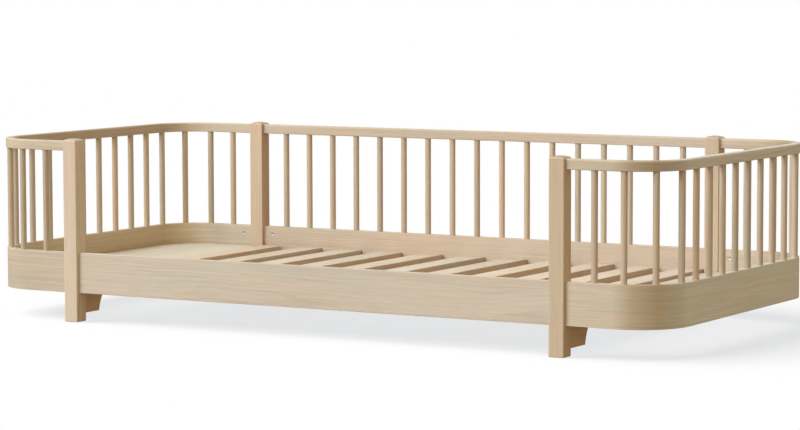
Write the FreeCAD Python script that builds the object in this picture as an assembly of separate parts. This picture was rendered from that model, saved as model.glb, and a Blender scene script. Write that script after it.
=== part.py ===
import FreeCAD, Part
import math
import os

# Toddler floor bed in pale oak, millimetres. Origin: floor level, in the middle of the bed.
# +X runs along the bed to its right end, +Y to the back, +Z up. The front has no guard rail.

# Overall
overall_length = 2070.0
overall_width = 970.0

# Square posts, their tops crowned both ways
post_height = 500.0
post_section = 42.0
post_spacing = 1482.0
post_edge_chamfer = 3.0
crown_flat = 16.0
crown_drop = 2.0

# Low rails, and the bent plank round each end
plank_thickness = 20.0
plank_height = 110.0
plank_bottom = 79.0
bend_radius = 129.0

# Top rails
top_rail_width = 22.0
top_rail_height = 27.0
top_rail_bottom = 466.0
top_rail_chamfer = 5.0

# Turned spindles, with a square tenon at both ends that keeps them from turning
spindle_diameter = 17.0
spindle_tenon = 10.0
spindle_tenon_length = 14.0
spindle_post_gap = 65.5
back_spindle_count = 17
end_spindle_count = 16

# Loose tenons between the rails and the posts
tenon_thickness = 8.0
tenon_length = 36.0
low_tenon_height = 40.0
low_tenon_above_bottom = 14.0
top_tenon_height = 15.0

# Room that every tenon has in its mortise
tenon_side_clearance = 0.1
tenon_end_clearance = 0.5

# Barrel nuts of the post joints, drawn with eight flats
nut_flats = 8
nut_diameter = 12.0
nut_length = 15.0
nut_from_post = 30.0
nut_below_top = 22.0
nut_recess = 0.8
nut_clearance = 0.1

# Arched cross beams between the front and back posts
beam_thickness = 28.0
beam_foot_clearance = 20.0
beam_foot_length = 79.0
arch_radius = 115.0
arch_height = 84.0
arch_corner_radius = 25.0
beam_tenon_thickness = 12.0
beam_tenon_height = 60.0
beam_tenon_length = 18.0
beam_tenon_above_foot = 8.0

# Support for the deck, glued to the inner faces of the rails and planks
support_above_plank_bottom = 36.0
ledger_width = 28.0
ledger_height = 22.0
ledger_end_gap = 2.0

# Slats, laid across the bed and joined by two tapes underneath
slat_count = 11
slat_width = 70.0
slat_thickness = 18.0
slat_easing = 1.5
slat_post_gap = 0.5
slat_left_gap = 18.0
slat_right_gap = 26.0
tape_width = 25.0
tape_thickness = 1.2
tape_from_middle = 295.0
tape_end_inset = 8.0

# Plywood boards that fill the rounded ends
board_thickness = 14.0
board_clearance = 4.0
board_notch_clearance = 3.0
board_from_post_middle = 1.0

# Places that follow from the sizes above
post_x = post_spacing / 2
side_y = (overall_width - post_section) / 2
post_outer_x = post_x + post_section / 2
post_inner_x = post_x - post_section / 2
post_inner_y = side_y - post_section / 2
end_x = (overall_length - top_rail_width) / 2
bend_x = end_x - bend_radius
bend_y = side_y - bend_radius
plank_top = plank_bottom + plank_height
support_z = plank_bottom + support_above_plank_bottom
rail_inner_y = side_y - plank_thickness / 2
end_inner_x = end_x - plank_thickness / 2
nut_z = plank_top - nut_below_top
low_tenon_z = plank_bottom + low_tenon_above_bottom + low_tenon_height / 2
top_tenon_z = top_rail_bottom + top_rail_height / 2
board_edge_x = post_x + board_from_post_middle
beam_x = post_outer_x - beam_thickness / 2
spindle_length = top_rail_bottom - plank_top
first_spindle = spindle_post_gap + spindle_diameter / 2

AXIS_X = FreeCAD.Vector(1, 0, 0)
AXIS_Y = FreeCAD.Vector(0, 1, 0)
AXIS_Z = FreeCAD.Vector(0, 0, 1)
CENTRE = FreeCAD.Vector(0, 0, 0)
SAME = 0.01

RIGHT, LEFT = 1, -1
BACK, FRONT = 1, -1
CORNERS = [(side, row) for side in (LEFT, RIGHT) for row in (FRONT, BACK)]
SIDE_NAMES = {LEFT: "left", RIGHT: "right"}
ROW_NAMES = {FRONT: "front", BACK: "back"}


def block(x0, x1, y0, y1, z0, z1):
    """A box between two corners, given in either order."""
    low = FreeCAD.Vector(min(x0, x1), min(y0, y1), min(z0, z1))
    return Part.makeBox(abs(x1 - x0), abs(y1 - y0), abs(z1 - z0), low)


def centred_block(x, y, z, size_x, size_y, size_z):
    low = FreeCAD.Vector(x - size_x / 2, y - size_y / 2, z - size_z / 2)
    return Part.makeBox(size_x, size_y, size_z, low)


def mirrored_end(shape):
    """The same piece at the left end: half a turn about the middle of the bed."""
    turned = shape.copy()
    turned.rotate(CENTRE, AXIS_Z, 180)
    return turned


def edges_at(shape, z, cap_x):
    """Edges that run level at height z, without those of the end caps at |x| = cap_x."""
    found = []
    for edge in shape.Edges:
        box = edge.BoundBox
        level = abs(box.ZMin - z) < SAME and abs(box.ZMax - z) < SAME
        in_cap = box.XLength < SAME and abs(abs(box.XMin) - cap_x) < SAME
        if level and not in_cap:
            found.append(edge)
    return found


# The bent ends: one centreline in plan, shared by plank, top rail, spindles and board

def bend_edges(inset, start_x):
    """Plan outline of the right end, drawn `inset` inside the centreline, front to back."""
    y = side_y - inset
    x = end_x - inset
    radius = bend_radius - inset
    slant = radius * math.sqrt(0.5)

    def point(px, py):
        return FreeCAD.Vector(px, py, 0)

    return [
        Part.LineSegment(point(start_x, -y), point(bend_x, -y)).toShape(),
        Part.Arc(point(bend_x, -y), point(bend_x + slant, -bend_y - slant), point(x, -bend_y)).toShape(),
        Part.LineSegment(point(x, -bend_y), point(x, bend_y)).toShape(),
        Part.Arc(point(x, bend_y), point(bend_x + slant, bend_y + slant), point(bend_x, y)).toShape(),
        Part.LineSegment(point(bend_x, y), point(start_x, y)).toShape(),
    ]


def bent_strip(width, bottom, height):
    """A strip of the given width, bent round the right end from post to post."""
    outer = bend_edges(-width / 2, post_outer_x)
    inner = bend_edges(width / 2, post_outer_x)
    caps = []
    for edge, end in ((0, 0), (-1, -1)):
        a, b = outer[edge].Vertexes[end], inner[edge].Vertexes[end]
        caps.append(Part.LineSegment(a.Point, b.Point).toShape())
    outline = Part.Wire(Part.__sortEdges__(outer + inner + caps))
    strip = Part.Face(outline).extrude(AXIS_Z * height)
    strip.translate(AXIS_Z * bottom)
    return strip


def bend_point(distance):
    """The place on the right end's centreline at a distance from the front post's face."""
    straight = bend_x - post_outer_x
    quarter = math.pi / 2 * bend_radius
    across = 2 * bend_y
    if distance < straight:
        return post_outer_x + distance, -side_y
    distance -= straight
    if distance < quarter:
        angle = distance / bend_radius
        return bend_x + bend_radius * math.sin(angle), -bend_y - bend_radius * math.cos(angle)
    distance -= quarter
    if distance < across:
        return end_x, -bend_y + distance
    distance -= across
    if distance < quarter:
        angle = distance / bend_radius
        return bend_x + bend_radius * math.cos(angle), bend_y + bend_radius * math.sin(angle)
    return bend_x - (distance - quarter), side_y


def end_spindle_places():
    """Spindle centres round the right end, evenly spaced along the centreline."""
    run = 2 * (bend_x - post_outer_x) + math.pi * bend_radius + 2 * bend_y
    pitch = (run - 2 * first_spindle) / (end_spindle_count - 1)
    return [bend_point(first_spindle + pitch * step) for step in range(end_spindle_count)]


def back_spindle_places():
    pitch = 2 * (post_inner_x - first_spindle) / (back_spindle_count - 1)
    start = -post_inner_x + first_spindle
    return [(start + pitch * step, side_y) for step in range(back_spindle_count)]


def spindle(x, y):
    """A round spindle with a square tenon below and above its shoulders."""
    body = Part.makeCylinder(spindle_diameter / 2, spindle_length, FreeCAD.Vector(x, y, plank_top))
    length = spindle_length + 2 * spindle_tenon_length
    middle = (plank_top + top_rail_bottom) / 2
    return body.fuse(centred_block(x, y, middle, spindle_tenon, spindle_tenon, length))


def mortises(places, z, direction):
    """The square holes for the spindle tenons, cut up or down from height z."""
    side = spindle_tenon + 2 * tenon_side_clearance
    depth = spindle_tenon_length + tenon_end_clearance
    middle = z + direction * depth / 2
    return Part.makeCompound([centred_block(x, y, middle, side, side, depth) for x, y in places])


# Joints between the posts and the rails

def low_tenon_places():
    """The post faces that a low rail or plank meets, as (x, row)."""
    return [(side * x, row) for side, row in CORNERS for x in (post_outer_x, post_inner_x)]


def top_tenon_places():
    """The post faces that a top rail meets: the front is open between its posts."""
    return [(x, row) for x, row in low_tenon_places() if row == BACK or abs(x) == post_outer_x]


def tenon_blocks(side_room, end_room):
    """Loose tenons, half of each on either side of its joint, or the room for them."""
    length = tenon_length + 2 * end_room
    thickness = tenon_thickness + 2 * side_room
    low_height = low_tenon_height + 2 * side_room
    top_height = top_tenon_height + 2 * side_room
    blocks = []
    for x, row in low_tenon_places():
        blocks.append(centred_block(x, row * side_y, low_tenon_z, length, thickness, low_height))
    for x, row in top_tenon_places():
        blocks.append(centred_block(x, row * side_y, top_tenon_z, length, thickness, top_height))
    return Part.makeCompound(blocks)


def loose_tenons():
    return tenon_blocks(0, 0)


def loose_mortises():
    return tenon_blocks(tenon_side_clearance, tenon_end_clearance)


def nut_prism(x, row, across, recess, length):
    """A flatted prism across the rail, from a recess deep in its face toward the mattress."""
    corner = across / 2 / math.cos(math.pi / nut_flats)
    y = row * (rail_inner_y + recess)
    angles = [2 * math.pi * (step + 0.5) / nut_flats for step in range(nut_flats)]
    points = [FreeCAD.Vector(x + corner * math.cos(a), y, nut_z + corner * math.sin(a)) for a in angles]
    return Part.Face(Part.makePolygon(points + points[:1])).extrude(AXIS_Y * (row * length))


def nut_places():
    """Every barrel nut as (x, row): one in the rail on each side of every post."""
    reach = post_section / 2 + nut_from_post
    return [(side * post_x + way * reach, row) for side, row in CORNERS for way in (-1, 1)]


def barrel_nuts():
    nuts = [nut_prism(x, row, nut_diameter, nut_recess, nut_length) for x, row in nut_places()]
    return Part.makeCompound(nuts)


def nut_holes():
    across = nut_diameter + 2 * nut_clearance
    depth = nut_recess + nut_length + nut_clearance
    return Part.makeCompound([nut_prism(x, row, across, 0, depth) for x, row in nut_places()])


# Posts

def crown_prism(x, y, half):
    """All that lies below the crown, seen along Y: level on top, then falling to both sides."""
    shoulder = half - post_edge_chamfer
    falls = [
        (half, 0),
        (half, post_height - crown_drop - post_edge_chamfer),
        (shoulder, post_height - crown_drop),
        (crown_flat / 2, post_height),
    ]
    outline = falls + [(-across, z) for across, z in reversed(falls)]
    points = [FreeCAD.Vector(x + across, y - half, z) for across, z in outline]
    return Part.Face(Part.makePolygon(points + points[:1])).extrude(AXIS_Y * (2 * half))


def post(side, row):
    """A square post: crowned both ways, with chamfered edges, and cut for its joints."""
    x, y, half = side * post_x, row * side_y, post_section / 2
    body = block(x - half, x + half, y - half, y + half, 0, post_height)
    edges = [edge for edge in body.Edges if edge.BoundBox.ZMin < SAME]
    body = body.makeChamfer(post_edge_chamfer, edges)
    along = crown_prism(x, y, half)
    across = along.copy()
    across.rotate(FreeCAD.Vector(x, y, 0), AXIS_Z, 90)
    return body.common(along).common(across).cut([loose_mortises(), beam_mortise(side, row)])


# Rails and planks

def low_rail(row):
    """A straight low rail between the posts of one side."""
    half = plank_thickness / 2
    y = row * side_y
    rail = block(-post_inner_x, post_inner_x, y - half, y + half, plank_bottom, plank_top)
    return rail.cut([loose_mortises(), nut_holes()])


def back_rail():
    return low_rail(BACK).cut(mortises(back_spindle_places(), plank_top, -1))


def end_plank():
    """The laminated plank, bent round the right end."""
    plank = bent_strip(plank_thickness, plank_bottom, plank_height)
    return plank.cut([loose_mortises(), nut_holes(), mortises(end_spindle_places(), plank_top, -1)])


def finished_top_rail(blank, cap_x, places):
    """Chamfers a top rail's upper edges and cuts its mortises."""
    upper = edges_at(blank, top_rail_bottom + top_rail_height, cap_x)
    rail = blank.makeChamfer(top_rail_chamfer, upper)
    return rail.cut([loose_mortises(), mortises(places, top_rail_bottom, 1)])


def back_top_rail():
    half = top_rail_width / 2
    top = top_rail_bottom + top_rail_height
    blank = block(-post_inner_x, post_inner_x, side_y - half, side_y + half, top_rail_bottom, top)
    return finished_top_rail(blank, post_inner_x, back_spindle_places())


def end_top_rail():
    blank = bent_strip(top_rail_width, top_rail_bottom, top_rail_height)
    return finished_top_rail(blank, post_outer_x, end_spindle_places())


# Cross beams

def beam_tenon(row, side_room, end_room):
    """The tenon at one end of the right beam, or with some room round it for its mortise."""
    half = beam_tenon_thickness / 2 + side_room
    bottom = beam_foot_clearance + beam_tenon_above_foot
    top = bottom + beam_tenon_height
    y = row * post_inner_y
    tip = y + row * (beam_tenon_length + end_room)
    return block(beam_x - half, beam_x + half, y, tip, bottom - side_room, top + side_room)


def beam_mortise(side, row):
    tool = beam_tenon(row * side, tenon_side_clearance, tenon_end_clearance)
    return tool if side == RIGHT else mirrored_end(tool)


def cross_beam():
    """The right beam: level on top, with an arch between its two feet."""
    foot_y = post_inner_y - beam_foot_length
    arch_y = foot_y - math.sqrt(arch_radius ** 2 - beam_foot_clearance ** 2)
    middle_z = (beam_foot_clearance + arch_height) / 2

    def point(y, z):
        return FreeCAD.Vector(beam_x - beam_thickness / 2, y, z)

    def arch_at(z):
        return arch_y + math.sqrt(arch_radius ** 2 - z ** 2)

    def arch(row):
        places = [(arch_at(z) * row, z) for z in (beam_foot_clearance, middle_z, arch_height)]
        return Part.Arc(*[point(y, z) for y, z in places]).toShape()

    corners = [
        (foot_y, beam_foot_clearance),
        (post_inner_y, beam_foot_clearance),
        (post_inner_y, support_z),
        (-post_inner_y, support_z),
        (-post_inner_y, beam_foot_clearance),
        (-foot_y, beam_foot_clearance),
    ]
    sides = [Part.LineSegment(point(*a), point(*b)).toShape() for a, b in zip(corners, corners[1:])]
    corner_y = arch_at(arch_height)
    underside = Part.LineSegment(point(-corner_y, arch_height), point(corner_y, arch_height)).toShape()
    outline = Part.Wire(Part.__sortEdges__(sides + [arch(FRONT), arch(BACK), underside]))
    beam = Part.Face(outline).extrude(AXIS_X * beam_thickness)
    inner = [edge for edge in beam.Edges if is_arch_corner(edge.BoundBox, corner_y)]
    beam = beam.makeFillet(arch_corner_radius, inner)
    return beam.fuse([beam_tenon(FRONT, 0, 0), beam_tenon(BACK, 0, 0)])


def is_arch_corner(box, corner_y):
    """True for the two edges along X where the arch meets the beam's level underside."""
    along = box.YLength < SAME and box.ZLength < SAME
    return along and abs(abs(box.YMin) - corner_y) < SAME and abs(box.ZMin - arch_height) < SAME


# Deck

def side_ledger(x0, x1, row):
    """A strip under the deck, glued to a rail of the front or back side."""
    y = row * rail_inner_y
    bottom = support_z - ledger_height
    return block(x0 + ledger_end_gap, x1 - ledger_end_gap, y, y - row * ledger_width, bottom, support_z)


def end_ledger():
    reach = bend_y - ledger_end_gap
    return block(end_inner_x - ledger_width, end_inner_x, -reach, reach, support_z - ledger_height, support_z)


def slat_places():
    """Left edge of each slat. The row lies nearer to the left end board."""
    start = -board_edge_x + slat_left_gap
    last = board_edge_x - slat_right_gap - slat_width
    pitch = (last - start) / (slat_count - 1)
    return [start + pitch * step for step in range(slat_count)]


def slat(x):
    reach = post_inner_y - slat_post_gap
    top = support_z + slat_thickness
    piece = block(x, x + slat_width, -reach, reach, support_z, top)
    along = [edge for edge in piece.Edges if edge.BoundBox.YLength > reach]
    return piece.makeChamfer(slat_easing, along)


def slat_tape(row):
    """A woven tape under the slats, which keeps them at their spacing."""
    places = slat_places()
    start = places[0] + tape_end_inset
    end = places[-1] + slat_width - tape_end_inset
    y = row * tape_from_middle
    half = tape_width / 2
    return block(start, end, y - half, y + half, support_z - tape_thickness, support_z)


def end_board():
    """The right board: rounded like the plank it lies in, and notched round the posts."""
    inset = plank_thickness / 2 + board_clearance
    notch_x = post_outer_x + board_notch_clearance
    notch_y = post_inner_y - board_notch_clearance
    outer = bend_edges(inset, notch_x)
    outer_y = side_y - inset
    corners = [
        (notch_x, outer_y),
        (notch_x, notch_y),
        (board_edge_x, notch_y),
        (board_edge_x, -notch_y),
        (notch_x, -notch_y),
        (notch_x, -outer_y),
    ]
    points = [FreeCAD.Vector(x, y, 0) for x, y in corners]
    inner = [Part.LineSegment(a, b).toShape() for a, b in zip(points, points[1:])]
    board = Part.Face(Part.Wire(Part.__sortEdges__(outer + inner))).extrude(AXIS_Z * board_thickness)
    board.translate(AXIS_Z * support_z)
    return board


def end_pieces():
    """The pieces of the right end, which the left end repeats."""
    spindles = Part.makeCompound([spindle(x, y) for x, y in end_spindle_places()])
    return {
        "end_plank": end_plank(),
        "end_top_rail": end_top_rail(),
        "end_spindles": spindles,
        "cross_beam": cross_beam(),
        "end_board": end_board(),
        "end_ledger": end_ledger(),
        "front_cleat": side_ledger(post_outer_x, bend_x, FRONT),
        "back_cleat": side_ledger(post_outer_x, bend_x, BACK),
    }


def middle_pieces():
    """The pieces between the posts, and the fasteners."""
    pieces = {
        "front_rail": low_rail(FRONT),
        "back_rail": back_rail(),
        "back_top_rail": back_top_rail(),
        "back_spindles": Part.makeCompound([spindle(x, y) for x, y in back_spindle_places()]),
        "loose_tenons": loose_tenons(),
        "barrel_nuts": barrel_nuts(),
    }
    for side, row in CORNERS:
        pieces[f"post_{ROW_NAMES[row]}_{SIDE_NAMES[side]}"] = post(side, row)
    for row in (FRONT, BACK):
        pieces[f"{ROW_NAMES[row]}_ledger"] = side_ledger(-post_inner_x, post_inner_x, row)
        pieces[f"{ROW_NAMES[row]}_slat_tape"] = slat_tape(row)
    for number, x in enumerate(slat_places(), start=1):
        pieces[f"slat_{number:02d}"] = slat(x)
    return pieces


def turned_name(name):
    """The name that a right end piece takes at the left end, where front and back change places."""
    if name.startswith("front_"):
        return name.replace("front_", "back_")
    return name.replace("back_", "front_")


def write_parts():
    os.makedirs("parts", exist_ok=True)
    for name, shape in middle_pieces().items():
        shape.exportStep(f"parts/{name}.step")
    for name, shape in end_pieces().items():
        shape.exportStep(f"parts/right_{name}.step")
        mirrored_end(shape).exportStep(f"parts/left_{turned_name(name)}.step")


write_parts()
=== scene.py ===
import math
import random

import bmesh
import bpy
from mathutils import Matrix, Vector


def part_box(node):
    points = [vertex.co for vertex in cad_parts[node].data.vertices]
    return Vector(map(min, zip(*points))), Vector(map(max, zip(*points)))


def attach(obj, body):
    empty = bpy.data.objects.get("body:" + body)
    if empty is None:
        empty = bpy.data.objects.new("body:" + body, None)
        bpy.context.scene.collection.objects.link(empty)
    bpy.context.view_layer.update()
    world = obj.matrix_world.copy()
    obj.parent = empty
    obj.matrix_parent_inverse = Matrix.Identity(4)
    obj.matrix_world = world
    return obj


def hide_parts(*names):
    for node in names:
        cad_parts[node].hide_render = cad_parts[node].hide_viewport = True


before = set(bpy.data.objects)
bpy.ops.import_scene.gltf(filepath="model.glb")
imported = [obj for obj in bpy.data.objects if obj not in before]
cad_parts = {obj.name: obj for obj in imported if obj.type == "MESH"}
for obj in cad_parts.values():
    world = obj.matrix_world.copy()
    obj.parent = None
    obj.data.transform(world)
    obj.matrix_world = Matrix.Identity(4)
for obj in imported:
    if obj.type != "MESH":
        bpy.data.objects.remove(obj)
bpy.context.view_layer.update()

MM = 0.001

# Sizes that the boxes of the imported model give
post_low, post_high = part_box("post_front_right")
rail_low, rail_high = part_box("front_rail")
top_low, top_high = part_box("back_top_rail")
plank_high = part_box("right_end_plank")[1]
nuts_low, nuts_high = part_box("barrel_nuts")
beam_low, beam_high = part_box("right_cross_beam")
board_low, board_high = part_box("right_end_board")

POST = post_high.x - post_low.x
POST_X = (post_low.x + post_high.x) / 2
POST_TOP = post_high.z
SIDE_Y = -(post_low.y + post_high.y) / 2
POST_OUTER_X = post_high.x
POST_INNER_X = post_low.x
POST_INNER_Y = -post_high.y
PLANK = rail_high.y - rail_low.y
PLANK_BOTTOM, PLANK_TOP = rail_low.z, rail_high.z
RAIL_INNER_Y = SIDE_Y - PLANK / 2
TOP_RAIL = top_high.y - top_low.y
TOP_BOTTOM, TOP_TOP = top_low.z, top_high.z
END_X = plank_high.x - PLANK / 2

# Sizes that the boxes don't give, and places that follow from both
BEND_RADIUS = 129 * MM
BEND_X = END_X - BEND_RADIUS
BEND_Y = SIDE_Y - BEND_RADIUS

SPINDLE_RADIUS = 8.5 * MM
SPINDLE_POST_GAP = 65.5 * MM  # between a post and the spindle beside it
BACK_SPINDLES = 17
END_SPINDLES = 16
SPINDLE_SEAT = 1 * MM  # how far a spindle's ends lie in the wood

NUT_RADIUS = 6 * MM
NUT_Z = (nuts_low.z + nuts_high.z) / 2
NUT_OUTER_X = nuts_high.x - NUT_RADIUS
NUT_INNER_X = 2 * POST_X - NUT_OUTER_X
NUT_RECESS = 0.8 * MM  # below the wood's face
NUT_HOLE_RADIUS = 6.2 * MM
NUT_HOLE_DEPTH = 4 * MM

BEAM_FOOT = 79 * MM  # from the post to the curve of the arch
ARCH_RADIUS = 115 * MM
ARCH_HEIGHT = 84 * MM
ARCH_CORNER = 25 * MM

BOARD_CLEARANCE = 4 * MM  # to the planks
BOARD_NOTCH = 3 * MM  # to the posts

RIGHT, LEFT = 1, -1
BACK, FRONT = 1, -1
SIDE_NAMES = {LEFT: "left", RIGHT: "right"}
ROW_NAMES = {FRONT: "front", BACK: "back"}
CORNERS = [(side, row) for side in (LEFT, RIGHT) for row in (FRONT, BACK)]


# Shader graphs

class Graph:
    """Adds nodes to a material or world and links them. A value is a number, a tuple or a socket."""

    def __init__(self, owner, shader="Principled BSDF"):
        self.owner = owner
        owner.use_nodes = True
        self.tree = owner.node_tree
        self.shader = self.tree.nodes[shader]

    def put(self, socket, value):
        if isinstance(value, bpy.types.NodeSocket):
            self.tree.links.new(value, socket)
        elif value is not None:
            socket.default_value = value

    def node(self, kind, inputs=None, **settings):
        node = self.tree.nodes.new(kind)
        for key, value in settings.items():
            setattr(node, key, value)
        for key, value in (inputs or {}).items():
            self.put(node.inputs[key], value)
        return node

    def attribute(self, name, output="Vector"):
        return self.node("ShaderNodeAttribute", attribute_name=name).outputs[output]

    def split(self, vector):
        return self.node("ShaderNodeSeparateXYZ", {0: vector}).outputs

    def maths(self, operation, a, b=None, c=None):
        return self.node("ShaderNodeMath", {0: a, 1: b, 2: c}, operation=operation).outputs[0]

    def vector(self, operation, a, b):
        return self.node("ShaderNodeVectorMath", {0: a, 1: b}, operation=operation).outputs[0]

    def scaled(self, vector, scale):
        return self.vector("MULTIPLY", vector, scale)

    def noise(self, vector, scale, detail=2.0, roughness=0.5, output="Fac"):
        """Noise of a vector that is first scaled along each of its axes."""
        inputs = {
            "Vector": self.scaled(vector, scale), "Scale": 1.0,
            "Detail": detail, "Roughness": roughness,
        }
        return self.node("ShaderNodeTexNoise", inputs).outputs[output]

    def span(self, value, low, high, to_low=0.0, to_high=1.0):
        inputs = {0: value, 1: low, 2: high, 3: to_low, 4: to_high}
        return self.node("ShaderNodeMapRange", inputs).outputs[0]

    def mix(self, factor, a, b, blend="MIX"):
        inputs = {0: factor, 6: a, 7: b}
        return self.node("ShaderNodeMix", inputs, data_type="RGBA", blend_type=blend).outputs[2]

    def shade(self, colour, factor):
        """A colour times a number."""
        grey = self.node("ShaderNodeCombineColor", {0: factor, 1: factor, 2: factor}).outputs[0]
        return self.mix(1.0, colour, grey, "MULTIPLY")

    def bump(self, height, distance, strength=1.0):
        inputs = {"Height": height, "Distance": distance, "Strength": strength}
        self.put(self.shader.inputs["Normal"], self.node("ShaderNodeBump", inputs).outputs[0])


def linear(red, green, blue):
    """A colour given as on screen, 0 to 255, in the scene's linear values."""
    values = []
    for value in (red, green, blue):
        share = value / 255
        values.append(share / 12.92 if share <= 0.04045 else ((share + 0.055) / 1.055) ** 2.4)
    return (*values, 1.0)


def new_material(name):
    return Graph(bpy.data.materials.new(name))


# Wood. Noise scales are (along, across, across) the grain, in features per metre
WANDER_SCALE = (2.8, 11.0, 11.0)
WANDER_REACH = (0.0, 0.024, 0.024)
PHASE_SCALE = (0.9, 14.0, 14.0)
PHASE_REACH = 9.0  # radians
RING_GAP_SCALE = (2.4, 18.0, 18.0)
STREAK_SCALE = (3.6, 150.0, 150.0)
FIBRE_SCALE = (22.0, 900.0, 900.0)
PORE_SCALE = (85.0, 2400.0, 2400.0)
PATCH_SCALE = (3.0, 24.0, 24.0)
BROAD_SCALE = (1.1, 9.0, 9.0)
LATE_WOOD = (0.70, 0.62, 0.54, 1.0)  # against the wood between the ring lines
BROAD_DEPTH = 0.045
FIBRE_DEPTH = 0.10
EDGE_GAIN = 0.05
WOOD_SPECULAR = 0.32
WOOD_RELIEF = 0.25 * MM


def growth_rings(graph, place, scale):
    """(the way across each ring, 0 to 1; the thin lines of late wood, which come and go)."""
    wander = graph.noise(place, WANDER_SCALE, 2.0, 0.5, "Color")
    wander = graph.scaled(graph.vector("SUBTRACT", wander, (0.5, 0.5, 0.5)), WANDER_REACH)
    bent = graph.vector("ADD", place, wander)
    phase = graph.span(graph.noise(place, PHASE_SCALE, 1.0), 0.0, 1.0, 0.0, PHASE_REACH)
    rings = graph.node(
        "ShaderNodeTexWave",
        {"Vector": bent, "Scale": scale, "Distortion": 0.0, "Phase Offset": phase},
        wave_type="RINGS", rings_direction="X", wave_profile="SAW",
    ).outputs["Fac"]
    late = graph.maths("MULTIPLY", graph.span(rings, 0.55, 0.93), graph.span(rings, 0.995, 0.93))
    patchy = graph.span(graph.noise(place, RING_GAP_SCALE, 2.0), 0.35, 0.65, 0.1, 1.0)
    return rings, graph.maths("MULTIPLY", late, patchy)


def open_pores(graph, place, rings):
    """Short dark pores, most of them in the early wood."""
    pores = graph.span(graph.noise(place, PORE_SCALE, 1.0), 0.60, 0.72)
    return graph.maths("MULTIPLY", pores, graph.span(rings, 0.0, 0.5, 1.0, 0.25))


def brightness(graph, place, changes):
    """Slow changes of brightness, and on top of them a change for each (value, depth)."""
    factor = graph.span(graph.noise(place, BROAD_SCALE, 1.0), 0.25, 0.75, 1 - BROAD_DEPTH, 1 + BROAD_DEPTH)
    for value, depth in changes:
        change = graph.span(value, 0.25, 0.75, -depth, depth)
        factor = graph.maths("MULTIPLY", factor, graph.maths("ADD", change, 1.0))
    return factor


def wood(name, pale, warm, ring_scale=55.0, ring_depth=0.38, streak_depth=0.065, pore_depth=0.10):
    """Sawn and sanded wood. Attribute "grain" is the place in the log it was cut from, X along the
    grain, "tint" the colour of its stave with painted light and shade on some pieces, and "edge" is 1
    on its worn edges."""
    graph = new_material(name)
    place = graph.attribute("grain")
    rings, late = growth_rings(graph, place, ring_scale)
    pores = open_pores(graph, place, rings)
    streaks = graph.noise(place, STREAK_SCALE, 4.0, 0.55)
    fibres = graph.noise(place, FIBRE_SCALE, 3.0, 0.6)
    patches = graph.noise(place, PATCH_SCALE, 3.0, 0.6)

    colour = graph.mix(graph.span(patches, 0.36, 0.64), pale, warm)
    colour = graph.mix(1.0, colour, graph.attribute("tint"), "MULTIPLY")
    lines = graph.maths("MULTIPLY", late, ring_depth)
    colour = graph.mix(lines, colour, graph.mix(1.0, colour, LATE_WOOD, "MULTIPLY"))
    factor = brightness(graph, place, ((streaks, streak_depth), (fibres, FIBRE_DEPTH)))
    factor = graph.maths("MULTIPLY", factor, graph.maths("MULTIPLY_ADD", pores, -pore_depth, 1.0))
    worn = graph.maths("MULTIPLY_ADD", graph.attribute("edge", "Fac"), EDGE_GAIN, 1.0)
    factor = graph.maths("MULTIPLY", factor, worn)
    graph.put(graph.shader.inputs["Base Color"], graph.shade(colour, factor))

    rough = graph.span(fibres, 0.3, 0.7, 0.50, 0.66)
    rough = graph.maths("ADD", rough, graph.maths("MULTIPLY", pores, 0.1))
    graph.put(graph.shader.inputs["Roughness"], rough)
    graph.shader.inputs["Specular IOR Level"].default_value = WOOD_SPECULAR
    height = graph.maths("MULTIPLY_ADD", pores, -0.8, graph.maths("MULTIPLY", fibres, 0.7))
    height = graph.maths("MULTIPLY_ADD", late, 0.35, height)
    graph.bump(height, WOOD_RELIEF, 0.55)
    return graph


PLY = 2.0 * MM
PLY_BLEND = 0.3 * MM  # the strip in which one ply's tone turns into the next


def plywood():
    """A sanded face veneer, with the plies showing as bands round the sides."""
    graph = wood(
        "board_veneer", (0.690, 0.640, 0.520, 1.0), (0.695, 0.620, 0.500, 1.0),
        ring_scale=30.0, ring_depth=0.16, streak_depth=0.06, pore_depth=0.05,
    )
    base = graph.shader.inputs["Base Color"]
    veneer = base.links[0].from_socket
    height = graph.split(graph.attribute("grain"))[2]
    bands = graph.maths("PINGPONG", height, PLY)
    bands = graph.span(bands, (PLY - PLY_BLEND) / 2, (PLY + PLY_BLEND) / 2, 0.72, 1.06)
    normal = graph.node("ShaderNodeNewGeometry").outputs["Normal"]
    level = graph.maths("ABSOLUTE", graph.split(normal)[2])
    side = graph.span(level, 0.35, 0.15)
    layered = graph.shade(veneer, bands)
    graph.put(base, graph.mix(side, veneer, layered))
    return graph


ZINC_PALE = (0.92, 0.92, 0.93, 1.0)
ZINC_DARK = (0.76, 0.76, 0.77, 1.0)
MOTTLE_SCALE = (900.0, 900.0, 900.0)
LATHE_SCALE = (250.0, 6000.0, 6000.0)
STEEL_RELIEF = 0.04 * MM


def steel():
    """Zinc-plated steel with a faint blotchy plating and the fine rings of the lathe."""
    graph = new_material("zinc_steel")
    place = graph.attribute("grain")
    mottle = graph.noise(place, MOTTLE_SCALE, 3.0)
    turned = graph.noise(place, LATHE_SCALE, 2.0)
    colour = graph.mix(graph.span(mottle, 0.35, 0.65), ZINC_PALE, ZINC_DARK)
    # the tint paints shadow on the nuts' rims and shade deep in their sockets
    colour = graph.mix(1.0, colour, graph.attribute("tint"), "MULTIPLY")
    graph.put(graph.shader.inputs["Base Color"], colour)
    graph.shader.inputs["Metallic"].default_value = 0.75
    graph.put(graph.shader.inputs["Roughness"], graph.span(mottle, 0.3, 0.7, 0.26, 0.42))
    graph.bump(turned, STEEL_RELIEF, 0.5)
    return graph


THREAD = 0.45 * MM
FLUFF_SCALE = (400.0, 400.0, 400.0)
TAPE_RELIEF = 0.2 * MM
TAPE_COLOUR = linear(216, 211, 200)


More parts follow.
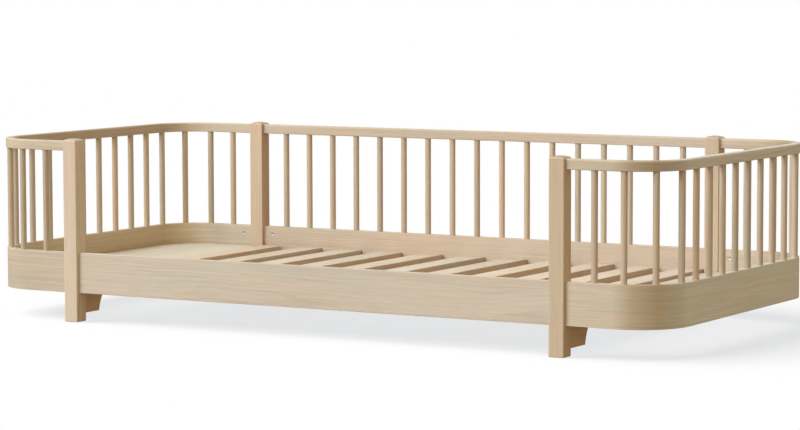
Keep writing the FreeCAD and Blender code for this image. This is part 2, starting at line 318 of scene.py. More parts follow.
def woven_tape():
    """Plain-woven cotton tape: crossing threads in colour and bump, the colour being painted shade
    where the threads dip.
    """
    graph = new_material("woven_tape")
    place = graph.attribute("grain")
    along, across, _ = graph.split(place)
    warp = graph.maths("PINGPONG", across, THREAD)
    weft = graph.maths("PINGPONG", along, THREAD)
    height = graph.span(graph.maths("MULTIPLY", warp, weft), 0.0, THREAD ** 2)
    fluff = graph.span(graph.noise(place, FLUFF_SCALE, 3.0), 0.3, 0.7, 0.92, 1.05)
    # painted shade where the threads dip under each other, times the fluff
    shade = graph.maths("MULTIPLY", graph.span(height, 0.0, 1.0, 0.78, 1.05), fluff)
    graph.put(graph.shader.inputs["Base Color"], graph.shade(TAPE_COLOUR, shade))
    graph.shader.inputs["Roughness"].default_value = 0.9
    graph.shader.inputs["Sheen Weight"].default_value = 0.2
    graph.bump(height, TAPE_RELIEF, 0.8)
    return graph


OAK = wood("pale_oak", (0.566, 0.476, 0.358, 1.0), (0.598, 0.465, 0.336, 1.0)).owner
LAMINATED = wood(
    "laminated_oak", (0.566, 0.476, 0.352, 1.0), (0.596, 0.464, 0.340, 1.0),
    ring_scale=48.0, ring_depth=0.42, streak_depth=0.12,
).owner
SLAT_WOOD = wood(
    "slat_wood", (0.630, 0.557, 0.452, 1.0), (0.655, 0.545, 0.440, 1.0),
    ring_scale=60.0, ring_depth=0.30, streak_depth=0.11, pore_depth=0.06,
).owner
VENEER = plywood().owner
BEECH = wood(
    "beech", (0.60, 0.42, 0.27, 1.0), (0.57, 0.38, 0.24, 1.0),
    ring_scale=90.0, ring_depth=0.2, streak_depth=0.06, pore_depth=0.12,
).owner
STEEL = steel().owner
TAPE = woven_tape().owner


# Meshes

def add_object(name, data):
    """Puts a mesh, lamp or camera in the scene."""
    item = bpy.data.objects.new(name, data)
    bpy.context.scene.collection.objects.link(item)
    return item


def mesh_object(name, vertices, faces):
    mesh = bpy.data.meshes.new(name)
    mesh.from_pydata([tuple(v) for v in vertices], [], faces)
    mesh.update()
    return add_object(name, mesh)


def bmesh_object(name, bm):
    mesh = bpy.data.meshes.new(name)
    bm.to_mesh(mesh)
    bm.free()
    return add_object(name, mesh)


EDGE_ANGLE = math.radians(9)
SHARP_ANGLE = math.radians(40)


def edge_vertices(mesh):
    """The vertices where faces meet at an angle, as on a rounded edge."""
    bm = bmesh.new()
    bm.from_mesh(mesh)
    marked = set()
    for edge in bm.edges:
        if len(edge.link_faces) == 2 and edge.calc_face_angle() > EDGE_ANGLE:
            marked.update(v.index for v in edge.verts)
    bm.free()
    return marked


def store(mesh, name, kind, field, values):
    mesh.attributes.new(name, kind, "POINT").data.foreach_set(field, values)


def dress(piece, material, nodes, grain_of, tint_of, worn=True):
    """Stores each vertex's grain, tint and wear, and puts the piece in the place of its nodes."""
    mesh = piece.data
    mesh.shade_smooth()
    mesh.set_sharp_from_angle(angle=SHARP_ANGLE)
    marked = edge_vertices(mesh) if worn else set()
    points = [(vertex.index, vertex.co) for vertex in mesh.vertices]
    grain = [grain_of(index, co) for index, co in points]
    tint = [tint_of(index, co) for index, co in points]
    store(mesh, "grain", "FLOAT_VECTOR", "vector", [value for one in grain for value in one])
    store(mesh, "tint", "FLOAT_VECTOR", "vector", [value for one in tint for value in one])
    store(mesh, "edge", "FLOAT", "value", [1.0 if index in marked else 0.0 for index, co in points])
    mesh.materials.clear()
    mesh.materials.append(material)
    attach(piece, "root")
    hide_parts(*nodes)


CORNER_STEPS = 4
SUPPORT = 2.5 * MM  # from a rounded edge to the line beside it that keeps the face flat
MIN_RADIUS = 0.2 * MM  # what an inset leaves of a rounded corner
EASE_MIDDLE = 0.3  # where an eased edge's middle point lies, as a share of its size


def rounded_section(width, height, upper, lower, inset=0.0):
    """A rectangle's outline, anticlockwise, with rounded corners and a point on both sides of each."""
    half_width, half_height = width / 2 - inset, height / 2 - inset
    corners = ((1, 1, upper), (-1, 1, upper), (-1, -1, lower), (1, -1, lower))
    points = []
    for quarter, (across, up, size) in enumerate(corners):
        radius = max(size - inset, MIN_RADIUS)
        centre = Vector((across * (half_width - radius), up * (half_height - radius)))
        start = quarter * math.pi / 2
        before = Vector((math.cos(start), math.sin(start)))
        after = Vector((-before.y, before.x))
        points.append(centre + before * radius - after * SUPPORT)
        for step in range(CORNER_STEPS + 1):
            angle = start + step / CORNER_STEPS * math.pi / 2
            points.append(centre + Vector((math.cos(angle), math.sin(angle))) * radius)
        points.append(centre + after * radius - before * SUPPORT)
    return points


def tube_faces(rings, count):
    """Faces of a closed tube of rings that run anticlockwise about its direction, with end caps."""
    faces = []
    for ring in range(rings - 1):
        low, high = ring * count, (ring + 1) * count
        for here in range(count):
            after = (here + 1) % count
            faces.append((low + here, low + after, high + after, high + here))
    faces.append(tuple(reversed(range(count))))
    faces.append(tuple(range((rings - 1) * count, rings * count)))
    return faces


def tube_from(first, rings, count, turned_over=False):
    """A tube's faces, counted from its first vertex, and turned over if its rings run clockwise."""
    faces = [tuple(first + corner for corner in face) for face in tube_faces(rings, count)]
    return [tuple(reversed(face)) for face in faces] if turned_over else faces


def round_angles(segments):
    return [2 * math.pi * step / segments for step in range(segments)]


def sweep(name, stations, section, ease=0.0):
    """A section carried along stations of (origin, right, up, direction), with eased ends. Right,
    up and the way back along the path are a right-handed set, so the rings are taken in reverse."""
    rings = []
    last = len(stations) - 1
    for index, (origin, right, up, direction) in enumerate(stations):
        inward = {0: 1, last: -1}.get(index, 0)
        steps = [(0.0, 0.0)]
        if inward and ease:
            steps = [(ease, 0.0), (ease * EASE_MIDDLE, ease * EASE_MIDDLE), (0.0, ease)]
        if inward < 0:
            steps.reverse()
        for inset, shift in steps:
            centre = origin + direction * (shift * inward)
            rings.append([centre + right * p.x + up * p.y for p in reversed(section(inset))])
    count = len(rings[0])
    vertices = [v for ring in rings for v in ring]
    return mesh_object(name, vertices, tube_faces(len(rings), count))


AXIS_X = Vector((1, 0, 0))
AXIS_Y = Vector((0, 1, 0))
AXIS_Z = Vector((0, 0, 1))


def straight_bar(name, start, end, right, up, section, ease=0.0):
    direction = (end - start).normalized()
    return sweep(name, [(start, right, up, direction), (end, right, up, direction)], section, ease)


def cut(piece, cutter):
    """Takes a cutter's shape out of a piece."""
    modifier = piece.modifiers.new("cut", "BOOLEAN")
    modifier.operation = "DIFFERENCE"
    modifier.solver = "EXACT"
    modifier.object = cutter
    graph = bpy.context.evaluated_depsgraph_get()
    mesh = bpy.data.meshes.new_from_object(piece.evaluated_get(graph))
    piece.modifiers.clear()
    piece.data = mesh
    bpy.data.objects.remove(cutter)


# The bent ends

ARC_STEPS = 18
BEND_SUPPORT = 8 * MM  # from a bend's end to the station that keeps the straight part straight


def bent_stations():
    """Stations along the right end's centreline, from the front post to the back post."""
    stations = []

    def add(x, y, outward, direction):
        stations.append((Vector((x, y, 0)), outward, AXIS_Z, direction))

    add(POST_OUTER_X, -SIDE_Y, -AXIS_Y, AXIS_X)
    add(BEND_X - BEND_SUPPORT, -SIDE_Y, -AXIS_Y, AXIS_X)
    for turn, centre_y in ((0, -BEND_Y), (1, BEND_Y)):
        for step in range(ARC_STEPS + 1):
            angle = (turn + step / ARC_STEPS) * math.pi / 2
            outward = Vector((math.sin(angle), -math.cos(angle), 0))
            direction = Vector((math.cos(angle), math.sin(angle), 0))
            add(BEND_X + BEND_RADIUS * outward.x, centre_y + BEND_RADIUS * outward.y, outward, direction)
        if turn == 0:
            add(END_X, -BEND_Y + BEND_SUPPORT, AXIS_X, AXIS_Y)
            add(END_X, BEND_Y - BEND_SUPPORT, AXIS_X, AXIS_Y)
    add(BEND_X - BEND_SUPPORT, SIDE_Y, AXIS_Y, -AXIS_X)
    add(POST_OUTER_X, SIDE_Y, AXIS_Y, -AXIS_X)
    return stations


# Lengths along the centreline: one leg, one bend, and all of it
STRAIGHT = BEND_X - POST_OUTER_X
QUARTER = math.pi / 2 * BEND_RADIUS
BENT_LENGTH = 2 * (STRAIGHT + QUARTER + BEND_Y)


def bend_place(x, y):
    """(distance along the right end's centreline, distance to its outside) of a point in plan."""
    if x <= BEND_X:
        if y < 0:
            return x - POST_OUTER_X, -y - SIDE_Y
        return STRAIGHT + 2 * QUARTER + 2 * BEND_Y + BEND_X - x, y - SIDE_Y
    if abs(y) <= BEND_Y:
        return STRAIGHT + QUARTER + y + BEND_Y, x - END_X
    centre_y = math.copysign(BEND_Y, y)
    outside = math.hypot(x - BEND_X, y - centre_y) - BEND_RADIUS
    if y < 0:
        return STRAIGHT + BEND_RADIUS * math.atan2(x - BEND_X, centre_y - y), outside
    turned = BEND_RADIUS * math.atan2(y - centre_y, x - BEND_X)
    return STRAIGHT + QUARTER + 2 * BEND_Y + turned, outside


def bend_point(distance):
    """The point of the right end's centreline at a distance from the front post's face."""
    if distance < STRAIGHT:
        return POST_OUTER_X + distance, -SIDE_Y
    distance -= STRAIGHT
    if distance < QUARTER:
        angle = distance / BEND_RADIUS
        return BEND_X + BEND_RADIUS * math.sin(angle), -BEND_Y - BEND_RADIUS * math.cos(angle)
    distance -= QUARTER
    if distance < 2 * BEND_Y:
        return END_X, distance - BEND_Y
    distance -= 2 * BEND_Y
    if distance < QUARTER:
        angle = distance / BEND_RADIUS
        return BEND_X + BEND_RADIUS * math.cos(angle), BEND_Y + BEND_RADIUS * math.sin(angle)
    return BEND_X - (distance - QUARTER), SIDE_Y


def turn_to(side, piece):
    """Turns a right end piece round to the left end."""
    if side == LEFT:
        piece.data.transform(Matrix.Rotation(math.pi, 4, "Z"))


# Tints: the colour of each piece's stave, times its material's, with painted light and shade on some
# pieces. A bent piece has one for its legs, one for its bends and one for its end, and the left plank
# has another for its back bend
TINTS = {
    "front_rail": (0.98, 1.035, 1.12),
    "back_rail": (0.97, 0.96, 0.97),
    "back_top_rail": (0.94, 0.94, 0.96),
    # The right plank's bends are painted shade and its end is painted cool light from the right
    "right_end_plank": ((0.98, 1.02, 1.04), (0.77, 0.74, 0.65), (1.11, 1.33, 1.60)),
    # The left plank's back bend is painted bounce light
    "left_end_plank": ((0.99, 1.03, 1.07), (0.98, 1.03, 1.06), (0.98, 0.98, 0.92), (1.22, 1.29, 1.31)),
    # The right top rail's bends are painted shade and its end is painted cool light from the right
    "right_end_top_rail": ((0.94, 0.98, 0.98), (0.73, 0.69, 0.61), (1.08, 1.28, 1.56)),
    "left_end_top_rail": ((1.00, 1.04, 1.06), (1.03, 1.08, 1.06), (0.84, 0.84, 0.86)),
    # The front posts: partly their own tone, partly painted light on the left one, painted shade on the
    # right
    "post_front_left": (1.15, 1.16, 1.20),
    "post_front_right": (0.98, 0.93, 0.87),
    "post_back_left": (1.07, 1.01, 0.97),
    "post_back_right": (0.98, 0.97, 0.97),
    "left_end_board": (1.0, 1.0, 1.0),
    # The right board's tint is painted shade from the plank and spindles beside it
    "right_end_board": (0.82, 0.77, 0.74),
    "cross_beam": (0.96, 0.86, 0.76),
    "ledger": (0.92, 0.90, 0.86),
}
PLAIN = (1.0, 1.0, 1.0)
BEND_LEAD = 13 * MM  # how far before its bend a leg starts to change
LEG_FADE = 60 * MM
END_FADE = 90 * MM


def same_tint(tint):
    return lambda index, co: tint


def shaded(tint, shade):
    return tuple(value * factor for value, factor in zip(tint, shade))


def drawn_tint(draw, brights, warms):
    """A tint drawn at random: how bright it is, and how far it leans to the warm side."""
    bright, warm = draw.uniform(*brights), draw.uniform(*warms)
    return bright * (1 + warm), bright, bright * (1 - warm)


def blend_tints(first, second, share):
    share = min(max(share, 0.0), 1.0)
    return tuple(a + (b - a) * share for a, b in zip(first, second))


def bent_tint(side, leg, front_bend, end, back_bend=None):
    """The tint of a bent piece, which changes from its legs through its bends to its end."""
    def tint(index, co):
        bend = back_bend if back_bend and co.y > 0 else front_bend
        along, _ = bend_place(side * co.x, side * co.y)
        along = min(along, BENT_LENGTH - along)
        if along < STRAIGHT + QUARTER / 2:
            return blend_tints(leg, bend, (along - STRAIGHT + BEND_LEAD) / LEG_FADE)
        return blend_tints(bend, end, (along - STRAIGHT - QUARTER / 2) / END_FADE)
    return tint


# Where each kind of piece lay in its log, in metres: the pith is at (0, 0) across the grain
RAIL_PITH = Vector((0.0, -0.018, 0.085))
BENT_PITH = Vector((0.0, 0.310, 0.060))
TOP_PITH = Vector((0.0, 0.030, 0.060))
POST_PITH = Vector((0.0, 0.075, 0.055))
LEDGER_PITH = Vector((0.0, 0.0, 0.050))

# How far along its log each kind of piece was cut, in metres: (start, step from piece to piece)
LOG_PLACES = {
    "end_plank": (0.0, 0.9),
    "end_top_rail": (3.1, 0.8),
    "low_rail": (5.3, 1.7),
    "back_top_rail": (9.0, 0.0),
    "cross_beam": (0.0, 2.2),
    "end_board": (4.0, 1.0),
    "slat": (0.0, 1.37),
    "ledger": (0.0, 0.7),
}
POST_SIDE_STEP = 1.3  # the same for the posts, from side to side
POST_ROW_STEP = 0.6  # and from row to row


def log_place(kind, number=0):
    start, step = LOG_PLACES[kind]
    return start + step * number


# Low rails, bent planks and top rails

PLANK_EDGES = (1.0 * MM, 1.2 * MM)  # upper, lower
TOP_EDGES = (4.0 * MM, 2.0 * MM)
HOLE_SEGMENTS = 40
CUTTER_REACH = 2 * MM  # out of the wood


def nut_hole_cutter(places):
    """Short cylinders for the nut holes of one piece, each at (x, row)."""
    vertices, faces = [], []
    for x, row in places:
        faces += tube_from(len(vertices), 2, HOLE_SEGMENTS, turned_over=row == BACK)
        for y in (RAIL_INNER_Y - CUTTER_REACH, RAIL_INNER_Y + NUT_HOLE_DEPTH):
            for angle in round_angles(HOLE_SEGMENTS):
                across, up = NUT_HOLE_RADIUS * math.cos(angle), NUT_HOLE_RADIUS * math.sin(angle)
                vertices.append((x + across, row * y, NUT_Z + up))
    return mesh_object("nut_hole_cutter", vertices, faces)


def plank_section(inset):
    return rounded_section(PLANK, PLANK_TOP - PLANK_BOTTOM, *PLANK_EDGES, inset)


def top_section(inset):
    return rounded_section(TOP_RAIL, TOP_TOP - TOP_BOTTOM, *TOP_EDGES, inset)


def bent_bar(name, z, section):
    """A bar bent in a U round the right end, its centreline at a height."""
    raised = [(origin + AXIS_Z * z, *axes) for origin, *axes in bent_stations()]
    return sweep(name, raised, section)


def dress_bent(piece, kind, side, bottom, pith):
    """Turns a bent bar to its end of the bed, and dresses it in grain that follows its bends."""
    name = f"{SIDE_NAMES[side]}_{kind}"
    start = log_place(kind, side)

    def grain(index, co):
        along, outside = bend_place(side * co.x, side * co.y)
        return Vector((start + along, co.z - bottom, outside)) + pith

    turn_to(side, piece)
    dress(piece, LAMINATED, [name], grain, bent_tint(side, *TINTS[name]))


def end_plank(side):
    name = f"{SIDE_NAMES[side]}_end_plank_wood"
    piece = bent_bar(name, (PLANK_BOTTOM + PLANK_TOP) / 2, plank_section)
    cut(piece, nut_hole_cutter([(NUT_OUTER_X, FRONT), (NUT_OUTER_X, BACK)]))
    dress_bent(piece, "end_plank", side, PLANK_BOTTOM, BENT_PITH)


def end_top_rail(side):
    name = f"{SIDE_NAMES[side]}_end_top_rail_wood"
    piece = bent_bar(name, (TOP_BOTTOM + TOP_TOP) / 2, top_section)
    dress_bent(piece, "end_top_rail", side, TOP_BOTTOM, TOP_PITH)


def bar_between_posts(name, row, z, section):
    start = Vector((-POST_INNER_X, row * SIDE_Y, z))
    end = Vector((POST_INNER_X, row * SIDE_Y, z))
    return straight_bar(name, start, end, -AXIS_Y, AXIS_Z, section)


def low_rail(row):
    name = f"{ROW_NAMES[row]}_rail"
    piece = bar_between_posts(f"{name}_wood", row, (PLANK_BOTTOM + PLANK_TOP) / 2, plank_section)
    cut(piece, nut_hole_cutter([(-NUT_INNER_X, row), (NUT_INNER_X, row)]))
    start = log_place("low_rail", row)

    def grain(index, co):
        return Vector((start + co.x, co.z - PLANK_BOTTOM, co.y - row * SIDE_Y)) + RAIL_PITH

    dress(piece, OAK, [name], grain, same_tint(TINTS[name]))


def back_top_rail():
    name = "back_top_rail"
    piece = bar_between_posts(f"{name}_wood", BACK, (TOP_BOTTOM + TOP_TOP) / 2, top_section)
    start = log_place(name)

    def grain(index, co):
        return Vector((start + co.x, co.z - TOP_BOTTOM, co.y - SIDE_Y)) + TOP_PITH

    dress(piece, OAK, [name], grain, same_tint(TINTS[name]))


# Posts

POST_EDGE = 2.2 * MM
FOOT_EASE = 2 * MM
SHOULDER_RADIUS = 2.4 * MM
SHOULDER_STEPS = 5
CROWN_RADIUS = 82 * MM
CROWN_SHARES = (0.8, 0.55, 0.3, 0.1)  # the crown's inner rings against its rim
END_GRAIN = (0.70, 0.71, 0.78)  # the crown against the post's sides
PAINTED_SIDE_SHADE = (0.84, 0.80, 0.82)  # painted shade on the +X side of the left back post, against its other sides
DARK_DEPTH = 0.5 * MM  # how far that painted shade reaches into the rounded edges


def crown_height(x, y):
    """Height of the crowned top at a place measured from the post's axis."""
    return POST_TOP - CROWN_RADIUS + math.sqrt(CROWN_RADIUS ** 2 - x * x - y * y)


def post_ring(inset, height_at):
    """A ring round the post's axis, whose height may change from place to place."""
    outline = rounded_section(POST, POST, POST_EDGE, POST_EDGE, inset)
    return [Vector((p.x, p.y, height_at(p.x, p.y))) for p in outline]


def foot_rings():
    """The eased foot, and a line above it that keeps the sides flat."""
    middle = FOOT_EASE * EASE_MIDDLE
    steps = [(FOOT_EASE, 0.0), (middle, middle), (0.0, FOOT_EASE), (0.0, FOOT_EASE + SUPPORT)]
    return [post_ring(inset, lambda x, y: z) for inset, z in steps]


def shoulder_rings():
    """A line below the crown that keeps the sides flat, and the rounded shoulder up to its rim."""
    rings = [post_ring(0.0, lambda x, y: crown_height(x, y) - SHOULDER_RADIUS - SUPPORT)]
    for step in range(SHOULDER_STEPS + 1):
        angle = step / SHOULDER_STEPS * math.pi / 2
        inset = SHOULDER_RADIUS * (1 - math.cos(angle))
        drop = SHOULDER_RADIUS * (1 - math.sin(angle))
        rings.append(post_ring(inset, lambda x, y: crown_height(x, y) - drop))
    return rings


def crown_rings(rim):
    """Rings over the crown, each a share of its rim."""
    rings = []
    for share in CROWN_SHARES:
        places = [(v.x * share, v.y * share) for v in rim]
        rings.append([Vector((x, y, crown_height(x, y))) for x, y in places])
    return rings


def post(side, row):
    name = f"post_{ROW_NAMES[row]}_{SIDE_NAMES[side]}"
    axis = Vector((side * POST_X, row * SIDE_Y, 0))
    sides = foot_rings() + shoulder_rings()
    rings = sides + crown_rings(sides[-1])
    vertices = [axis + v for ring in rings for v in ring]
    count = len(rings[0])
    first_top = (len(sides) - 2) * count
    piece = mesh_object(f"{name}_wood", vertices, tube_faces(len(rings), count))
    start = POST_SIDE_STEP * side + POST_ROW_STEP * row

    def grain(index, co):
        return Vector((start + co.z, co.x - axis.x, co.y - axis.y)) + POST_PITH

    def tint(index, co):
        if index >= first_top:
            return shaded(TINTS[name], END_GRAIN)
        # painted shade on the left back post's +X side
        if name == "post_back_left" and co.x - axis.x > POST / 2 - DARK_DEPTH:
            return shaded(TINTS[name], PAINTED_SIDE_SHADE)
        return TINTS[name]

    dress(piece, OAK, [name], grain, tint)


# Spindles

SPINDLE_SEGMENTS = 32
BACK_SEED, RIGHT_SEED, LEFT_SEED = 11, 23, 37
SPINDLE_ASIDE = 0.01  # how far its log's pith lies to one side of a spindle's axis, in metres

# Ranges that each spindle's stock is drawn from: its place along and across the log, in metres,
# and its tint
SPINDLE_LOG = (0, 20)
SPINDLE_PITH = (0.035, 0.09)
SPINDLE_BRIGHT = (0.90, 1.02)
SPINDLE_WARM = (-0.04, 0.05)


def spindles(name, places, seed):
    """Straight round spindles between the low and the top rail, each from its own stock."""
    draw = random.Random(seed)
    levels = (PLANK_TOP - SPINDLE_SEAT, PLANK_TOP, TOP_BOTTOM, TOP_BOTTOM + SPINDLE_SEAT)
    vertices, faces, stock, tints = [], [], [], []
    for x, y in places:
        faces += tube_from(len(vertices), len(levels), SPINDLE_SEGMENTS)
        for z in levels:
            for angle in round_angles(SPINDLE_SEGMENTS):
                across, deep = SPINDLE_RADIUS * math.cos(angle), SPINDLE_RADIUS * math.sin(angle)
                vertices.append((x + across, y + deep, z))
        turn = draw.uniform(0, 2 * math.pi)
        stock.append((x, y, turn, draw.uniform(*SPINDLE_LOG), draw.uniform(*SPINDLE_PITH)))
        tints.append(drawn_tint(draw, SPINDLE_BRIGHT, SPINDLE_WARM))
    count = SPINDLE_SEGMENTS * len(levels)
    piece = mesh_object(f"{name}_wood", vertices, faces)

    def grain(index, co):
        x, y, turn, start, pith = stock[index // count]
        across = (co.x - x) * math.cos(turn) - (co.y - y) * math.sin(turn)
        deep = (co.x - x) * math.sin(turn) + (co.y - y) * math.cos(turn)
        return Vector((start + co.z, SPINDLE_ASIDE + across, pith + deep))

    dress(piece, OAK, [name], grain, lambda index, co: tints[index // count], worn=False)


def all_spindles():
    first = SPINDLE_POST_GAP + SPINDLE_RADIUS
    pitch = 2 * (POST_INNER_X - first) / (BACK_SPINDLES - 1)
    places = [(-POST_INNER_X + first + pitch * step, SIDE_Y) for step in range(BACK_SPINDLES)]
    spindles("back_spindles", places, BACK_SEED)
    pitch = (BENT_LENGTH - 2 * first) / (END_SPINDLES - 1)
    places = [bend_point(first + pitch * step) for step in range(END_SPINDLES)]
    spindles("right_end_spindles", places, RIGHT_SEED)
    spindles("left_end_spindles", [(-x, -y) for x, y in places], LEFT_SEED)


# Barrel nuts

NUT_SEGMENTS = 36
NUT_PROFILE = [  # (radius, depth below the nut's face)
    (NUT_RADIUS, 3.0 * MM),
    (NUT_RADIUS, 0.5 * MM),
    (NUT_RADIUS - 0.15 * MM, 0.15 * MM),
    (NUT_RADIUS - 0.6 * MM, 0.0),
    (4.3 * MM, 0.0),
    (3.6 * MM, 0.6 * MM),
]
SHADOWED_RIM_RINGS = 3  # the rings of that profile, from its back on, painted dark as the shadow in the nut's hole
SOCKET_FLAT = 2.6 * MM  # from the socket's middle to its flats
SOCKET_DEPTHS = (0.9 * MM, 2.8 * MM)
SOCKET_TURN = 0.3  # radians
# painted shade deep in the socket, and painted shadow on the rim in the nut's hole
SOCKET_PAINTED_SHADE = (0.08, 0.08, 0.08)
RIM_PAINTED_SHADOW = (0.30, 0.28, 0.26)
LATHE_RADIUS = 4 * MM  # where lengths round the nut are true in its grain


def socket_radius(angle):
    """How far the side of the hexagonal socket is from its middle at an angle."""
    return SOCKET_FLAT / math.cos((angle + SOCKET_TURN) % (math.pi / 3) - math.pi / 6)


def nut_ring(x, row, depth, radius_at):
    y = row * (RAIL_INNER_Y + NUT_RECESS + depth)
    ring = []
    for angle in round_angles(NUT_SEGMENTS):
        radius = radius_at(angle)
        ring.append((x + radius * math.cos(angle), y, NUT_Z + radius * math.sin(angle)))
    return ring


def nut_rings(x, row):
    """One nut, from its back in the wood over its rim into its socket."""
    rings = [nut_ring(x, row, depth, lambda angle: radius) for radius, depth in NUT_PROFILE]
    return rings + [nut_ring(x, row, depth, socket_radius) for depth in SOCKET_DEPTHS]


def barrel_nuts():
    """Round nuts just below the wood's face, with a bevelled rim and a hexagonal socket. The rim is
    painted with the shadow of the nut's hole, and the socket with shade deep inside.
    """
    vertices, faces, homes = [], [], []
    for side, row in CORNERS:
        for x in (side * NUT_OUTER_X, side * NUT_INNER_X):
            rings = nut_rings(x, row)
            faces += tube_from(len(vertices), len(rings), NUT_SEGMENTS, turned_over=row == FRONT)
            vertices += [v for ring in rings for v in ring]
            homes.append(x)
    count = len(vertices) // len(homes)
    piece = mesh_object("barrel_nuts_steel", vertices, faces)

    def grain(index, co):
        across, up = co.x - homes[index // count], co.z - NUT_Z
        return Vector((math.atan2(up, across) * LATHE_RADIUS, math.hypot(across, up), co.y))

    def tint(index, co):
        # painted shade deep in the socket, painted shadow on the rim
        ring = index % count // NUT_SEGMENTS
        if ring > len(NUT_PROFILE):
            return SOCKET_PAINTED_SHADE
        return RIM_PAINTED_SHADOW if ring < SHADOWED_RIM_RINGS else PLAIN

    dress(piece, STEEL, ["barrel_nuts"], grain, tint, worn=False)


# Cross beams and end boards

EASE_SEGMENTS = 3
LEVEL = 0.001 * MM  # an edge that rises less lies in a face
BEAM_EASE = 1.2 * MM
BOARD_EASE = 0.6 * MM
ARCH_STEPS = 12
ARCH_CORNER_STEPS = 8
BOARD_STEPS = 20


def rounded_plate(name, outline, plane, thickness, ease):
    """A flat outline, pushed out along the plane's normal, with eased edges on both faces."""
    bm = bmesh.new()
    face = bm.faces.new([bm.verts.new(plane(a, b)) for a, b in outline])
    made = bmesh.ops.extrude_face_region(bm, geom=[face])
    moved = [item for item in made["geom"] if isinstance(item, bmesh.types.BMVert)]
    bmesh.ops.translate(bm, verts=moved, vec=thickness)
    bmesh.ops.recalc_face_normals(bm, faces=bm.faces)
    direction = thickness.normalized()
    rims = []
    for edge in bm.edges:
        rise = (edge.verts[1].co - edge.verts[0].co).dot(direction)
        if abs(rise) < LEVEL:
            rims.append(edge)
    bmesh.ops.bevel(bm, geom=rims, offset=ease, segments=EASE_SEGMENTS, profile=0.5, affect="EDGES")
    return bmesh_object(name, bm)


def arc_points(centre, radius, start, end, steps):
    """Points on an arc between two angles, both included."""
    points = []
    for step in range(steps + 1):
        angle = start + (end - start) * step / steps
        points.append((centre[0] + radius * math.cos(angle), centre[1] + radius * math.sin(angle)))
    return points


def beam_outline():
    """The cross beam from the side, (y, z), between the inner faces of the posts."""
    foot = beam_low.z
    inner_y = POST_INNER_Y
    foot_y = inner_y - BEAM_FOOT
    arch_y = foot_y - math.sqrt(ARCH_RADIUS ** 2 - foot ** 2)
    corner_z = ARCH_HEIGHT - ARCH_CORNER
    reach = ARCH_RADIUS - ARCH_CORNER
    corner_y = arch_y + math.sqrt(reach ** 2 - corner_z ** 2)
    meet = math.atan2(corner_z, corner_y - arch_y)
    low = math.asin(foot / ARCH_RADIUS)
    right = arc_points((arch_y, 0.0), ARCH_RADIUS, low, meet, ARCH_STEPS)
    right += arc_points((corner_y, corner_z), ARCH_CORNER, meet, math.pi / 2, ARCH_CORNER_STEPS)[1:]
    left = [(-y, z) for y, z in reversed(right)]
    top = beam_high.z
    return [(inner_y, foot)] + right + left + [(-inner_y, foot), (-inner_y, top), (inner_y, top)]


def cross_beam(side):
    name = f"{SIDE_NAMES[side]}_cross_beam"
    thickness = beam_high.x - beam_low.x
    low_x = beam_low.x if side == RIGHT else -beam_high.x
    start = log_place("cross_beam", side)

    def plane(y, z):
        return Vector((low_x, y, z))

    def grain(index, co):
        return Vector((start + co.y, co.z, co.x - side * POST_X)) + RAIL_PITH

    piece = rounded_plate(f"{name}_wood", beam_outline(), plane, AXIS_X * thickness, BEAM_EASE)
    dress(piece, OAK, [name], grain, same_tint(TINTS["cross_beam"]))


def board_outline():
    """The right board in plan, anticlockwise from the corner outside the front post's notch."""
    inset = PLANK / 2 + BOARD_CLEARANCE
    notch_x = POST_OUTER_X + BOARD_NOTCH
    notch_y = POST_INNER_Y - BOARD_NOTCH
    outer_y = SIDE_Y - inset
    radius = BEND_RADIUS - inset
    points = [(notch_x, -outer_y)]
    points += arc_points((BEND_X, -BEND_Y), radius, -math.pi / 2, 0.0, BOARD_STEPS)
    points += arc_points((BEND_X, BEND_Y), radius, 0.0, math.pi / 2, BOARD_STEPS)
    points += [(notch_x, outer_y), (notch_x, notch_y), (board_low.x, notch_y)]
    points += [(board_low.x, -notch_y), (notch_x, -notch_y)]
    return points


def end_board(side):
    name = f"{SIDE_NAMES[side]}_end_board"
    bottom = board_low.z
    thickness = board_high.z - bottom
    start = log_place("end_board", side)

    def plane(x, y):
        return Vector((x, y, bottom))

    def grain(index, co):
        return Vector((start + co.y, co.x, co.z - bottom))

    piece = rounded_plate(f"{name}_veneer", board_outline(), plane, AXIS_Z * thickness, BOARD_EASE)
    turn_to(side, piece)
    dress(piece, VENEER, [name], grain, same_tint(TINTS[name]))


# Slats, ledgers and tapes

def box_bar(name, node, along, radius, ease, reach=0.0):
    """A bar that fills a node's box and reaches out of both its ends, with rounded edges along it
    and eased ends."""
    low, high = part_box(node)
    size = high - low
    direction, right, width = AXIS_Y, AXIS_X, size.x
    if along == "x":
        direction, right, width = AXIS_X, -AXIS_Y, size.y
    half = direction * (size.dot(direction) / 2 + reach)
    centre = (low + high) / 2

    def section(inset):
        return rounded_section(width, size.z, radius, radius, inset)

    return straight_bar(name, centre - half, centre + half, right, AXIS_Z, section, ease)


SLATS = 11
SLAT_SEED = 5
SLAT_EDGE = 1.6 * MM
SLAT_EASE = 1.2 * MM
SLAT_GAP = 2 * MM  # between a slat's end and the rail
SLAT_SIDE_PAINTED_SHADE = (0.90, 0.82, 0.77)  # painted shade on the sides of a slat, from the gaps between slats, against its top
SLAT_SHADE_DEPTH = 0.8 * MM  # from a slat's top to where the painted shade on its sides begins

# Ranges that each slat's stock is drawn from: its place across the log, in metres, and its tint
SLAT_ASIDE = (-0.05, 0.02)
SLAT_PITH = (0.03, 0.12)
SLAT_BRIGHT = (0.97, 1.02)
SLAT_WARM = (-0.02, 0.03)


